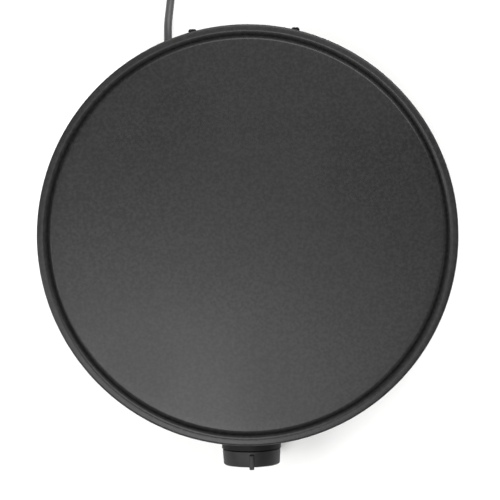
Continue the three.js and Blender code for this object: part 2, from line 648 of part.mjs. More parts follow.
// A rubber foot with a stem that snaps through the floor.
function foot() {
  const stem = FOOT_STEM_D / 2;
  const top = BASE_FLOOR_Z - GAP;
  return turned([
    [0, 0], [FOOT_D / 2 - 1, 0], [FOOT_D / 2, 1], [FOOT_D / 2 - 0.6, top],
    [stem, top], [stem, BASE_FLOOR_TOP + GAP], [stem + 1.1, BASE_FLOOR_TOP + GAP + 0.4],
    [stem - 0.5, BASE_FLOOR_TOP + 4], [0, BASE_FLOOR_TOP + 4],
  ], 16);
}

footPlaces.forEach(([x, y], i) => {
  add(`foot_${i + 1}`, foot().translate(x, y, 0), RUBBER);
});

// ---- Knob, clip and shaft --------------------------------------------------------------------

// The knob's own axis is Z here, its back at z = 0 and its face at z = KNOB_L.
function knob() {
  const back = KNOB_BACK_D / 2;
  const face = KNOB_FACE_D / 2;
  const hub = HUB_D / 2;
  const floor = KNOB_L - KNOB_FACE_WALL;
  const body = turned([
    [0, 1.5], [hub, 1.5], [hub, floor], [back - KNOB_WALL, floor], [back - KNOB_WALL, 0], [back, 0],
    [face, KNOB_L - KNOB_ROUND], [face - KNOB_ROUND * 0.3, KNOB_L - KNOB_ROUND * 0.3],
    [face - KNOB_ROUND, KNOB_L], [0, KNOB_L],
  ], 36);
  const ridgeTop = back + RIDGE_H;
  const rim = block(
    [RIDGE_W, RIDGE_H + 2, KNOB_L - 2 + RIDGE_NOSE],
    [0, ridgeTop - RIDGE_H / 2 - 1, (KNOB_L + 2 + RIDGE_NOSE) / 2]);
  const nose = block(
    [RIDGE_W, RIDGE_L, RIDGE_NOSE + 1], [0, ridgeTop - RIDGE_L / 2, KNOB_L + (RIDGE_NOSE - 1) / 2]);
  return cut(join(body, rim, nose), shaftBar(SHAFT_CLEAR, 0.5, floor));
}

// A round bar with a flat on one side, along the knob's axis.
function shaftBar(clearance, from, to) {
  const radius = SHAFT_D / 2 + clearance;
  const bar = rod(2 * radius, [0, 0, from], [0, 0, to], 24);
  const flat = SHAFT_D / 2 - SHAFT_FLAT + clearance;
  return cut(bar, block([4 * radius, radius, 2 * (to - from)], [0, flat + radius / 2, (from + to) / 2]));
}

function placeOnAxis(geometry) {
  return geometry.rotateX(Math.PI / 2).translate(0, KNOB_BACK_Y, AXIS_Z);
}

add('knob', placeOnAxis(knob()), GLOSS_PLASTIC);

const clipInner = HUB_D / 2 + GAP;
add('knob_clip', placeOnAxis(turned([
  [clipInner, 3], [clipInner + CLIP_T, 3], [clipInner + CLIP_T, 3 + CLIP_W],
  [clipInner, 3 + CLIP_W], [clipInner, 3],
], 16)), SPRING_STEEL);

// Round in the thermostat, with its flat from the boss to the knob.
const shaftEnd = KNOB_L - KNOB_FACE_WALL - GAP;
const shaftInner = -(THERMOSTAT_FRONT - THERMOSTAT.y / 2) - 1 - KNOB_BACK_Y;
add('thermostat_shaft', placeOnAxis(join(
  rod(SHAFT_D, [0, 0, -shaftInner], [0, 0, -KNOB_GAP - BOSS_FRONT_WALL], 24),
  shaftBar(0, -KNOB_GAP - BOSS_FRONT_WALL - 1, shaftEnd),
)), STEEL);

// ---- Pilot lamps -----------------------------------------------------------------------------

// A lens along its own Z, with its flange at the bottom, standing 2 mm out of the wall.
function pilotLens(length) {
  const r = LENS_D / 2;
  return turned([
    [0, 0], [LENS_FLANGE_D / 2, 0], [LENS_FLANGE_D / 2, LENS_FLANGE_T], [r, LENS_FLANGE_T],
    [r, length - 1.6],
    [r * 0.75, length - 0.5], [r * 0.35, length], [0, length],
  ], 20);
}

const lensFlangeR = baseInnerRadius(AXIS_Z - LENS_FLANGE_D / 2) - LENS_FLANGE_T - 3 * GAP;
const lensLength = baseRadius(AXIS_Z) + LENS_PROUD - lensFlangeR;

lensPlaces.forEach((degrees, i) => {
  const name = ['power', 'ready'][i];
  const finish = [RED_LENS, GREEN_LENS][i];
  const turn = THREE.MathUtils.degToRad(degrees);
  const lens = pilotLens(lensLength).rotateY(Math.PI / 2).translate(lensFlangeR, 0, 0).rotateZ(turn);
  add(`${name}_lens`, lens.translate(0, 0, AXIS_Z), finish);
  const lampTip = lensFlangeR - GAP;
  const lamp = rod(
    LAMP_D, [...polar(lampTip - LAMP_L, degrees), AXIS_Z], [...polar(lampTip, degrees), AXIS_Z], 12);
  add(`${name}_lamp`, lamp, LAMP_GLASS);
});

// ---- Strain relief, cord clamp and terminal block --------------------------------------------

// A moulded sleeve that tapers to the lead. A groove near its inner end grips the outlet.
const reliefInner = OUTLET_END - 12;

function strainRelief() {
  const base = RELIEF_BASE_D / 2;
  const neck = base - 1 - GAP;
  const length = RELIEF_END - reliefInner;
  const outletEnd = OUTLET_END - reliefInner;
  return turned([
    [0, 0], [neck, 0], [neck, outletEnd + GAP], [base + 1.5, outletEnd + GAP],
    [base + 1.5, outletEnd + 3], [base, outletEnd + 4],
    [RELIEF_TIP_D / 2, length - 1], [RELIEF_TIP_D / 2 - 0.6, length], [0, length],
  ], 20).rotateX(-Math.PI / 2).translate(CORD_X, reliefInner, CORD_Z);
}

add('strain_relief', strainRelief(), RUBBER);

const sheathEnd = CLAMP_Y - CLAMP.y / 2 - 3;
add('cord_inner_end', rod(
  CORD_D, [CORD_X, sheathEnd, CORD_Z], [CORD_X, reliefInner - GAP, CORD_Z], 12), RUBBER);

const clampBottom = CORD_Z + GAP / 2;

function cordClamp() {
  const bar = block([CLAMP.x, CLAMP.y, CLAMP.z], [CORD_X, CLAMP_Y, clampBottom + CLAMP.z / 2]);
  const groove = rod(
    CORD_D + 2 * GAP, [CORD_X, CLAMP_Y - CLAMP.y, CORD_Z], [CORD_X, CLAMP_Y + CLAMP.y, CORD_Z], 12);
  const screwHoles = clampScrewXs.map((x) => rod(
    holeFor(M3), [x, CLAMP_Y, CORD_Z - 3], [x, CLAMP_Y, CORD_Z + CLAMP.z + 3], 12));
  return cut(bar, groove, ...screwHoles);
}

add('cord_clamp', cordClamp(), NYLON);

clampScrewXs.forEach((x, i) => {
  const seat = clampBottom + CLAMP.z + GAP;
  add(`clamp_screw_${i + 1}`, screw(M3, CLAMP.z + 6, false).translate(x, CLAMP_Y, seat), STEEL);
});

const blockBottom = BASE_FLOOR_TOP + BLOCK_PAD_H + GAP;

function terminalBlock() {
  const body = block([BLOCK.x, BLOCK.y, BLOCK.z], [BLOCK_X, BLOCK_Y, blockBottom + BLOCK.z / 2]);
  const blockTop = blockBottom + BLOCK.z;
  const well = rod(
    M3.head + 2 * GAP, [BLOCK_X, BLOCK_Y, blockBottom + 3], [BLOCK_X, BLOCK_Y, blockTop + 1], 12);
  const hole = rod(holeFor(M3), [BLOCK_X, BLOCK_Y, 0], [BLOCK_X, BLOCK_Y, blockBottom + 5], 10);
  return cut(body, well, hole);
}

add('terminal_block', terminalBlock(), NYLON);
add('block_screw', screw(M3, 5, false).translate(BLOCK_X, BLOCK_Y, blockBottom + 3 + GAP), STEEL);

// ---- Internal wires --------------------------------------------------------------------------

const WIRE_END = 2 * GAP; // a wire stops this far from what it is fastened to
const wireZ = blockBottom + BLOCK.z / 2;
const blockFront = BLOCK_Y - BLOCK.y / 2 - WIRE_END;
const blockBack = BLOCK_Y + BLOCK.y / 2 + WIRE_END;
const tabTip = thermostatBack + 8 + WIRE_END;

function wire(name, points, steps, finish) {
  add(name, alongCurve(points, WIRE_D, steps, 6), finish);
}

// The lead's three conductors lie in a triangle in its sheath, and fan out to the block's rear.
[
  ['conductor_live', 210, -1, 0.5, BROWN_WIRE],
  ['conductor_earth', 90, 0, 4, EARTH_WIRE],
  ['conductor_neutral', 330, 1, -1.5, BLUE_WIRE],
].forEach(([name, degrees, side, rise, finish]) => {
  const [offset, lift] = polar(1.6, degrees);
  const startX = CORD_X + offset;
  const endX = BLOCK_X + side * BLOCK_PITCH;
  const startZ = CORD_Z + lift;
  wire(name, [
    [startX, sheathEnd - WIRE_END, startZ], [startX, sheathEnd - 4, startZ],
    [(startX + endX) / 2, (sheathEnd + blockBack) / 2, (startZ + wireZ) / 2 + rise],
    [endX, blockBack + 4, wireZ], [endX, blockBack, wireZ],
  ], 10, finish);
});

wire('wire_live', [
  [BLOCK_X - BLOCK_PITCH, blockFront, wireZ], [BLOCK_X - BLOCK_PITCH, blockFront - 4, wireZ],
  [-64, 14, 14], [-76, -10, 13], [-68, -40, 14], [-32, tabTip + 12, 22],
  [tabXs[0], tabTip + 6, tabZ], [tabXs[0], tabTip + 2, tabZ], [tabXs[0], tabTip, tabZ],
], 20, BROWN_WIRE);

const fuseLead = (side, out, down) => [
  fuseEnd(side)[0] + side * fuseAlong[0] * out, fuseEnd(side)[1] + side * fuseAlong[1] * out, fuseZ - down];
wire('wire_switched', [
  [tabXs[1], tabTip, tabZ], [tabXs[1], tabTip + 3, tabZ], [26, tabTip + 4, tabZ + 4],
  [fuseEnd(-1)[0] - 8, fuseEnd(-1)[1] + 14, fuseZ - 12],
  fuseLead(-1, 6, 2), fuseLead(-1, 2, 0), fuseLead(-1, WIRE_END, 0),
], 18, BROWN_WIRE);

const pinFoot = pinPlaces.map(([x, y, z]) => [x, y, z - GAP - 1.5 * PIN_L]);
const belowPin = (i, down) => [pinFoot[i][0], pinFoot[i][1], pinFoot[i][2] - down];
wire('wire_fused', [
  fuseLead(1, WIRE_END, 0), fuseLead(1, 2, 0), fuseLead(1, 6, 2),
  [fuseEnd(1)[0] + 26, fuseEnd(1)[1] + 24, fuseZ - 14], [94, -30, 40], [88, 6, 34], [72, 44, 30],
  [34, 70, belowPin(1, 14)[2]], belowPin(1, 7), belowPin(1, 3), belowPin(1, WIRE_END),
], 28, BROWN_WIRE);

wire('wire_neutral', [
  [BLOCK_X + BLOCK_PITCH, blockFront, wireZ], [BLOCK_X + BLOCK_PITCH, blockFront - 4, wireZ],
  [-18, 36, 20], [pinFoot[0][0] + 1, pinFoot[0][1] - 22, pinFoot[0][2] - 12],
  belowPin(0, 7), belowPin(0, 3), belowPin(0, WIRE_END),
], 14, BLUE_WIRE);

const earthSeat = REFLECTOR_TOP - 0.8;
wire('wire_earth', [
  [BLOCK_X, blockFront, wireZ], [BLOCK_X, blockFront - 4, wireZ], [-60, 27, 27],
  [earthPlace[0] + 16, earthPlace[1] + 10, 42], [earthPlace[0] + 8, earthPlace[1] + 6, earthSeat - 4],
  [earthPlace[0] + 4.6, earthPlace[1] + 1.5, earthSeat - 0.8],
], 14, EARTH_WIRE);
add('earth_screw', screw(M3, PLATE_UNDER - earthSeat - 1.5, true)
  .translate(earthPlace[0], earthPlace[1], earthSeat), STEEL);

// ---- Mains lead ------------------------------------------------------------------------------

const coilOuter = COIL_OUTER_R + CORD_R;
const coilInner = COIL_OUTER_R - 2 * COIL_TRACK - CORD_R;
const coilH = CORD_D + COIL_TRACK;
// How far before the coil's side the lead's straight stretches stop.
const coilEntry = Math.sqrt((coilOuter + 2 * GAP) ** 2 - (COIL_OUTER_R - CORD_R) ** 2);

add('power_cord', alongCurve([
  [CORD_X, RELIEF_END + GAP, CORD_Z], [CORD_X, RELIEF_END + 7, CORD_Z - 0.3],
  [CORD_X + 0.25, RELIEF_END + 16, CORD_Z - 2], [CORD_X + 1.35, RELIEF_END + 26, CORD_Z - 5.2],
  [CORD_X + 2.3, RELIEF_END + 36, CORD_Z - 8.8], [CORD_X + 2.65, RELIEF_END + 46, CORD_Z - 11.6],
  [CORD_X + 2.55, RELIEF_END + 56, CORD_Z - 12.8],
  [COIL_X - COIL_OUTER_R, COIL_Y - coilEntry - 1, CORD_Z - 12.9],
], CORD_D, 20, 10), RUBBER);

add('cord_coil', turned([
  [coilInner + 2, 0], [coilOuter - 2, 0], [coilOuter, 2], [coilOuter, coilH - 2], [coilOuter - 2, coilH],
  [coilInner + 2, coilH], [coilInner, coilH - 2], [coilInner, 2], [coilInner + 2, 0],
], 36).translate(COIL_X, COIL_Y, COIL_LIFT), RUBBER);

// A flat band round the bundle of turns.
function cordTie() {
  const frame = (grow) => {
    const path = new THREE.Shape();
    path.moveTo(coilInner - grow, -grow);
    path.lineTo(coilOuter + grow, -grow);
    path.lineTo(coilOuter + grow, coilH + grow);
    path.lineTo(coilInner - grow, coilH + grow);
    path.closePath();
    return path;
  };
  const outline = frame(GAP + TIE_T);
  outline.holes.push(frame(GAP));
  const band = new THREE.ExtrudeGeometry(outline, { depth: TIE_W, bevelEnabled: false });
  return band.translate(0, 0, -TIE_W / 2).rotateX(Math.PI / 2).rotateZ(THREE.MathUtils.degToRad(-35));
}

add('cord_tie', cordTie().translate(COIL_X, COIL_Y, COIL_LIFT), NYLON);

// The lead's last stretch, from the coil to the plug.
const leadY = COIL_Y + COIL_OUTER_R;
const plugZ = PLUG_D / 2;
add('plug_lead', alongCurve([
  [COIL_X + coilEntry, leadY, COIL_LIFT + CORD_R + COIL_TRACK + 0.6], [COIL_X + 28, leadY + 0.2, 12],
  [COIL_X + 36, leadY + 0.3, 14.2], [COIL_X + 43, leadY + 0.2, 16.6],
  [PLUG_START_X - 7, leadY, plugZ - 0.1], [PLUG_START_X - GAP, leadY, plugZ],
], CORD_D, 10, 10), RUBBER);

// A moulded round plug on its side: a neck, a grip and the face with two pins.
function plugBody() {
  const neck = PLUG_NECK_L;
  const end = neck + PLUG_BODY_L;
  const r = PLUG_D / 2;
  const body = turned([
    [0, 0], [RELIEF_TIP_D / 2, 0], [RELIEF_TIP_D / 2 + 1.4, neck - 4], [r - 6, neck + 3], [r - 2, neck + 12],
    [r, neck + 20], [r, end - 1], [r - 1, end], [0, end],
  ], 24);
  const contactRecess = (side) => block([5, 3, 12], [0, side * (r - 0.5), end - 5]);
  return cut(body, contactRecess(-1), contactRecess(1))
    .rotateY(Math.PI / 2).translate(PLUG_START_X, leadY, plugZ);
}

add('plug_body', plugBody(), RUBBER);

const plugFace = PLUG_START_X + PLUG_NECK_L + PLUG_BODY_L;
[-1, 1].forEach((side, i) => {
  const y = leadY + (side * PLUG_PIN_SPACING) / 2;
  const pin = turned([
    [0, 0], [PLUG_PIN_D / 2, 0], [PLUG_PIN_D / 2, PLUG_PIN_L - 2],
    [PLUG_PIN_D / 3, PLUG_PIN_L], [0, PLUG_PIN_L],
  ], 12).rotateY(Math.PI / 2);
  add(`plug_pin_${i + 1}`, pin.translate(plugFace + GAP, y, plugZ), NICKEL);
});

// The origin is under the middle of the griddle, between the knob's ridge and the rear lugs.
griddle.position.y = (BOSS_FRONT + KNOB_GAP + KNOB_L + RIDGE_NOSE - LUG_REAR) / 2;

export default griddle;
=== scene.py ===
import math

import bmesh
import bpy
from mathutils import Matrix, Vector


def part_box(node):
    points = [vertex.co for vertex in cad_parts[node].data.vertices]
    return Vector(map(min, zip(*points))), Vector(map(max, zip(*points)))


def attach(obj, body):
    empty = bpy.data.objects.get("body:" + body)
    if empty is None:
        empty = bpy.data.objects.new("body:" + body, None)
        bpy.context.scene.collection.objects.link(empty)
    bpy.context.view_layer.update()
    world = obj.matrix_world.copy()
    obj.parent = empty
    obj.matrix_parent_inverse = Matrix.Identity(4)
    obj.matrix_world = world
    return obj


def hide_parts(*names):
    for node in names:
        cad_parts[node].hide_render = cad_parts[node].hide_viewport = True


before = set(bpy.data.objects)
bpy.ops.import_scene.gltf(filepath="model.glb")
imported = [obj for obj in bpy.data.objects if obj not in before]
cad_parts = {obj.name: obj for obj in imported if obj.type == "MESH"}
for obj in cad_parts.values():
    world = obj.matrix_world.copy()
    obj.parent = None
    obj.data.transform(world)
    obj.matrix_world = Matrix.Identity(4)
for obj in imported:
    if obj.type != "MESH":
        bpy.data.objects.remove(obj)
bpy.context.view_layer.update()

MM = 0.001
FULL_TURN = math.tau

# ---- Camera, floor and light -------------------------------------------------------------------
# The griddle stands on a pale painted board and is seen from straight above. The main soft box
# hangs close to the camera, towards the front left, so the plate is brightest there. A second
# stands on the left and a long one behind on the right, and the room is palest near the floor.

plate_low, plate_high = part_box("cooking_plate")
PLATE_X = (plate_low.x + plate_high.x) / 2 / MM
PLATE_Y = (plate_low.y + plate_high.y) / 2 / MM
CAMERA_ABOVE = (1.5, -10.65, 1072.0)  # mm from the plate's axis and the table
CAMERA_TURN_DEG = -1.05
CAMERA_LENS = 101.4
BOARD_SIDE = 8.0
BOARD_TONES = ("#f3f3f2", "#f8f8f7")
ROOM_LOW, ROOM_HIGH = 0.9, 0.1  # the room's brightness at the floor and overhead
# place, width, depth, power in watts
SOFT_BOXES = (
    ((-0.18, -0.44, 1.55), 0.5, 0.5, 15.5),
    ((-1.05, -0.25, 1.00), 0.6, 0.6, 8.0),
    ((0.35, 1.10, 1.15), 1.7, 0.35, 30.0),
)


def srgb(code):
    """The linear colour of an sRGB hex value."""
    channels = [int(code[i:i + 2], 16) / 255 for i in (1, 3, 5)]
    return [c / 12.92 if c <= 0.04045 else ((c + 0.055) / 1.055) ** 2.4 for c in channels] + [1.0]


def add_node(material, kind, inputs=None, **settings):
    """Adds a node with its settings, and sets or links its inputs."""
    made = material.node_tree.nodes.new(kind)
    for name, value in settings.items():
        setattr(made, name, value)
    for name, value in (inputs or {}).items():
        if isinstance(value, bpy.types.NodeSocket):
            material.node_tree.links.new(value, made.inputs[name])
        else:
            made.inputs[name].default_value = value
    return made


def bare_material(name):
    """A material with nothing in it, and the place on the piece that its patterns read."""
    material = bpy.data.materials.new(name)
    material.use_nodes = True
    material.node_tree.nodes.clear()
    return material, add_node(material, "ShaderNodeTexCoord").outputs["Object"]


def mottled(name, tones, patch, grain, depth, roughness, **shader):
    """A finish that drifts between two tones over patches and has a fine grain, sizes in mm."""
    material, place = bare_material(name)
    patches = add_node(material, "ShaderNodeTexNoise", {
        "Vector": place, "Scale": 1 / (patch * MM), "Detail": 3.0, "Roughness": 0.6})
    tone = add_node(material, "ShaderNodeMix", {
        0: patches.outputs[0], 6: srgb(tones[0]), 7: srgb(tones[1])}, data_type="RGBA")
    grains = add_node(material, "ShaderNodeTexNoise", {
        "Vector": place, "Scale": 1 / (grain * MM), "Detail": 2.0})
    gloss = add_node(material, "ShaderNodeMapRange", {
        "Value": grains.outputs[0], 1: 0.3, 2: 0.7, 3: roughness[0], 4: roughness[1]})
    relief = add_node(material, "ShaderNodeBump", {
        "Height": grains.outputs[0], "Distance": depth * MM, "Strength": 1.0})
    surface = add_node(material, "ShaderNodeBsdfPrincipled", {
        "Base Color": tone.outputs[2], "Roughness": gloss.outputs[0],
        "Normal": relief.outputs[0], **shader})
    add_node(material, "ShaderNodeOutputMaterial", {"Surface": surface.outputs[0]})
    return material


# Emulsion paint on board: very matt, with a faint roller stipple.
painted_board = mottled("painted_board", BOARD_TONES, 90, 1.5, 0.03, (0.85, 0.95))

board_shape = bmesh.new()
bmesh.ops.create_grid(board_shape, x_segments=8, y_segments=8, size=BOARD_SIDE / 2)
board_mesh = bpy.data.meshes.new("board")
board_shape.to_mesh(board_mesh)
board_shape.free()
board_mesh.materials.append(painted_board)
board = bpy.data.objects.new("board", board_mesh)
bpy.context.scene.collection.objects.link(board)

for place, width, depth, power in SOFT_BOXES:
    box_light = bpy.data.lights.new("soft_box", "AREA")
    box_light.shape = "RECTANGLE"
    box_light.size, box_light.size_y = width, depth
    box_light.energy = power
    box_object = bpy.data.objects.new("soft_box", box_light)
    box_object.location = place
    box_object.rotation_euler = Vector(place).to_track_quat("Z", "Y").to_euler()
    bpy.context.scene.collection.objects.link(box_object)

room = bpy.data.worlds.new("pale_room")
room.use_nodes = True
room.node_tree.nodes.clear()
toward = add_node(room, "ShaderNodeTexCoord").outputs["Generated"]
upward = add_node(room, "ShaderNodeSeparateXYZ", {0: toward})
room_glow = add_node(room, "ShaderNodeMapRange", {
    "Value": upward.outputs["Z"], 1: 0.0, 2: 1.0, 3: ROOM_LOW, 4: ROOM_HIGH})
walls = add_node(room, "ShaderNodeBackground", {
    "Color": (1, 1, 1, 1), "Strength": room_glow.outputs[0]})
add_node(room, "ShaderNodeOutputWorld", {"Surface": walls.outputs[0]})
bpy.context.scene.world = room
bpy.context.scene.view_settings.view_transform = "Standard"

camera_lens = bpy.data.cameras.new("camera")
camera_lens.lens = CAMERA_LENS
camera_lens.clip_start = 0.01
camera = bpy.data.objects.new("camera", camera_lens)
camera.location = [
    (above + axis) * MM for above, axis in zip(CAMERA_ABOVE, (PLATE_X, PLATE_Y, 0))]
camera.rotation_euler = (0, 0, math.radians(CAMERA_TURN_DEG))
bpy.context.scene.collection.objects.link(camera)
bpy.context.scene.camera = camera

# ---- Mains lead --------------------------------------------------------------------------------
# A round two-wire and earth lead in soft black PVC, about 1 m long. It leaves the base at the
# rear left, drops to the table, and is wound flat in two layers of two turns behind the griddle.

LEAD_D = 6.0
OUTLET = (-57.0, 146.0, 17.0)
# Places on the lead in mm from the plate's axis.
LEAD_DROP = (
    (-57.0, 146.3, 17.0), (-57.0, 149.6, 16.9), (-57.0, 153.0, 16.7), (-56.95, 157.5, 16.0),
    (-56.75, 162.0, 15.0), (-56.25, 167.0, 13.5), (-55.65, 172.0, 11.8), (-55.1, 177.0, 9.9),
    (-54.7, 182.0, 8.2), (-54.45, 187.0, 6.6), (-54.35, 192.0, 5.4), (-54.35, 197.0, 4.6),
    (-54.45, 202.0, 4.2), (-54.65, 209.0, 4.1), (-54.85, 216.4, 4.1), (-54.95, 224.0, 4.15),
    (-55.0, 232.0, 4.2),
)
LEAD_TO_PLUG = (
    (-9.0, 278.3, 10.6), (-1.0, 278.3, 10.7), (5.9, 278.3, 11.2), (11.3, 278.5, 12.0),
    (15.3, 278.55, 13.0), (19.3, 278.6, 14.2), (23.3, 278.55, 15.6), (27.0, 278.5, 16.8),
    (30.5, 278.4, 17.6), (33.7, 278.3, 17.95),
)
COIL_CENTRE = (-16.7, 240.0)
COIL_R = 38.3
COIL_STEP = 6.3
COIL_LOW, COIL_HIGH = 4.3, 10.6
LAYER_TURNS = 2.0
RISE_TURNS = 0.25
POINTS_A_TURN = 24


def coil_places():
    """Clockwise from the left: two turns inwards, a rise, and two turns outwards on top."""
    places = []
    all_turns = 2 * LAYER_TURNS + RISE_TURNS
    for i in range(1, int(all_turns * POINTS_A_TURN)):
        turns = i / POINTS_A_TURN
        angle = math.pi - turns * FULL_TURN
        if turns < LAYER_TURNS:
            inward, height = turns, COIL_LOW
        elif turns < LAYER_TURNS + RISE_TURNS:
            inward = LAYER_TURNS
            height = COIL_LOW + (COIL_HIGH - COIL_LOW) * (turns - LAYER_TURNS) / RISE_TURNS
        else:
            inward, height = all_turns - turns, COIL_HIGH
        radius = COIL_R - COIL_STEP * inward
        places.append((
            COIL_CENTRE[0] + radius * math.cos(angle),
            COIL_CENTRE[1] + radius * math.sin(angle), height))
    return places


def from_axis(x, y, z):
    """A place in metres in the row's frame, from one in mm about the plate's axis."""
    return Vector(((PLATE_X + x) * MM, (PLATE_Y + y) * MM, z * MM))


lead_places = [from_axis(*p) for p in (*LEAD_DROP, *coil_places(), *LEAD_TO_PLUG)]
lead_curve = bpy.data.curves.new("mains_lead", "CURVE")
lead_curve.dimensions = "3D"
lead_curve.bevel_depth = LEAD_D / 2 * MM
lead_curve.bevel_resolution = 5
lead_curve.use_fill_caps = True
lead_run = lead_curve.splines.new("NURBS")
lead_run.points.add(len(lead_places) - 1)
for point, lead_place in zip(lead_run.points, lead_places):
    point.co = (*lead_place, 1)
lead_run.order_u = 4
lead_run.use_endpoint_u = True
lead_run.resolution_u = 3
mains_lead = bpy.data.objects.new("mains_lead", lead_curve)
bpy.context.scene.collection.objects.link(mains_lead)

# Plasticised PVC, extruded: a soft sheen, dulled by handling, with faint die lines.
soft_pvc = mottled("soft_pvc", ("#28282a", "#38383a"), 14, 0.7, 0.03, (0.42, 0.6))
lead_curve.materials.append(soft_pvc)
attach(mains_lead, "griddle")
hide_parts("power_cord", "cord_coil", "plug_lead")

# ---- Tie round the coil ------------------------------------------------------------------------
# A flat nylon strap, closed round all the turns at one place, as the lead is packed.

TIE_TURN_DEG = -35.0
TIE_WIDTH = 5.0
TIE_THICK = 0.8
# The inner outline of the strap round the turns, in mm from the coil's middle and up.
TIE_INSIDE = ((22.4, 1.0), (41.6, 1.0), (41.6, 13.9), (22.4, 13.9))
TIE_CORNER_R = 3.2
TIE_EDGE_R = 0.15
SHARP_ABOVE_DEG = 38  # an edge that turns by more than this keeps its crease


def add_piece(shape, name, finish, body, slot, *stands_for):
    """Makes the piece of a shape, with its finish, and fixes it to its body."""
    mesh = bpy.data.meshes.new(name)
    shape.to_mesh(mesh)
    shape.free()
    mesh.shade_smooth()
    mesh.set_sharp_from_angle(angle=math.radians(SHARP_ABOVE_DEG))
    mesh.materials.append(finish)
    piece = bpy.data.objects.new(name, mesh)
    bpy.context.scene.collection.objects.link(piece)
    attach(piece, body)
    if stands_for:
        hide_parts(*stands_for)
    return piece


# Natural nylon, moulded: milky, slightly yellow, with a soft gloss.
natural_nylon = mottled(
    "natural_nylon", ("#b3ae9f", "#c9c5b7"), 6, 0.5, 0.01, (0.4, 0.55),
    **{"Subsurface Weight": 0.15, "Subsurface Scale": 0.002})

tie = bmesh.new()
corners = [tie.verts.new((x * MM, -TIE_WIDTH / 2 * MM, z * MM)) for x, z in TIE_INSIDE]
for near, far in zip(corners, corners[1:] + corners[:1]):
    tie.edges.new((near, far))
bmesh.ops.bevel(
    tie, geom=corners, offset=TIE_CORNER_R * MM, offset_type="OFFSET", segments=6, profile=0.5,
    affect="VERTICES", material=-1)
strap = bmesh.ops.extrude_edge_only(tie, edges=tie.edges[:])
bmesh.ops.translate(
    tie, verts=[v for v in strap["geom"] if isinstance(v, bmesh.types.BMVert)],
    vec=(0, TIE_WIDTH * MM, 0))
bmesh.ops.recalc_face_normals(tie, faces=tie.faces[:])
bmesh.ops.solidify(tie, geom=tie.faces[:], thickness=-TIE_THICK * MM)
bmesh.ops.bevel(
    tie, geom=[e for e in tie.edges if e.calc_face_angle(0) > 1.0], offset=TIE_EDGE_R * MM,
    offset_type="OFFSET", segments=2, profile=0.5, affect="EDGES", material=-1)
bmesh.ops.recalc_face_normals(tie, faces=tie.faces[:])
bmesh.ops.transform(
    tie, verts=tie.verts[:],
    matrix=Matrix.Translation(from_axis(*COIL_CENTRE, 0))
    @ Matrix.Rotation(math.radians(TIE_TURN_DEG), 4, "Z"))
cord_strap = add_piece(tie, "cord_strap", natural_nylon, "griddle", "nylon", "cord_tie")

# ---- Plug --------------------------------------------------------------------------------------
# A round moulded mains plug in the lead's own PVC, with finger rings round its grip and two
# nickel-plated brass pins. It lies on its side past the coil.

PLUG_Y, PLUG_Z = 278.3, 18.0
PLUG_START_X = 34.0
# Outlines of the plug and of a pin: radius, distance from its own start, rounding of the corner
PLUG_PROFILE = (
    (0, 0, 0), (4.2, 0, 0.6), (4.6, 3, 0), (4.0, 4.2, 0.3), (4.8, 5.4, 0.3), (4.2, 7.2, 0.3),
    (5.0, 8.4, 0.3), (4.4, 10.2, 0.3), (5.2, 11.4, 0.3), (4.7, 13.2, 0.3), (5.4, 15, 0.5),
    (5.6, 22, 2), (12, 29, 3), (16, 38, 3), (17.2, 42.4, 0.5), (16.6, 43.6, 0.5),
    (17.6, 45.4, 0.5), (16.9, 46.8, 0.5), (17.9, 48.8, 0.5), (17.2, 50.2, 0.5),
    (18, 52, 0.4), (18, 60.6, 0.7), (16.6, 62, 0.4), (0, 62, 0),
)
PIN_PROFILE = ((0, 0, 0), (2.4, 0, 0), (2.4, 16.6, 1.2), (1.5, 19, 0.7), (0, 19, 0))
PIN_SPACING = 19.0
PIN_START = 62.3  # from the plug's start, just clear of its face
ALONG_X = Matrix.Rotation(math.pi / 2, 4, "Y")


def turned(profile, steps, place=Matrix()):
    """Spins a profile of (radius, height, rounding) in mm about the upright axis."""
    shape = bmesh.new()
    corners = [shape.verts.new((r * MM, 0, z * MM)) for r, z, _ in profile]
    for near, far in zip(corners, corners[1:]):
        shape.edges.new((near, far))
    for corner, (_, _, rounding) in zip(corners, profile):
        if rounding:
            bmesh.ops.bevel(
                shape, geom=[corner], offset=rounding * MM, offset_type="OFFSET", segments=4,
                profile=0.5, affect="VERTICES", material=-1)
    bmesh.ops.spin(
        shape, geom=shape.verts[:] + shape.edges[:], cent=(0, 0, 0), axis=(0, 0, 1),
        dvec=(0, 0, 0), angle=FULL_TURN, steps=steps, use_merge=True)
    bmesh.ops.remove_doubles(shape, verts=shape.verts[:], dist=1e-7)
    bmesh.ops.recalc_face_normals(shape, faces=shape.faces[:])
    bmesh.ops.transform(shape, verts=shape.verts[:], matrix=place)
    return shape


# Nickel plate over turned brass: bright, slightly warm, with fine rubbing from sockets.
nickel_plate = mottled(
    "nickel_plate", ("#b9b3a4", "#d4cfc2"), 3, 0.25, 0.004, (0.2, 0.34), Metallic=1.0)

plug_place = Matrix.Translation(from_axis(PLUG_START_X, PLUG_Y, PLUG_Z)) @ ALONG_X
plug_grip = add_piece(
    turned(PLUG_PROFILE, 72, plug_place), "plug_grip", soft_pvc, "griddle", "cord_pvc", "plug_body")
for pin_number, side in ((1, -1), (2, 1)):
    pin_place = Matrix.Translation(from_axis(
        PLUG_START_X + PIN_START, PLUG_Y + side * PIN_SPACING / 2, PLUG_Z)) @ ALONG_X
    add_piece(
        turned(PIN_PROFILE, 32, pin_place), f"plated_pin_{pin_number}", nickel_plate,
        "griddle", "nickel", f"plug_pin_{pin_number}")

# ---- Strain relief -----------------------------------------------------------------------------
# A soft PVC sleeve pushed into the outlet. It tapers to the lead, with rings that let it bend.

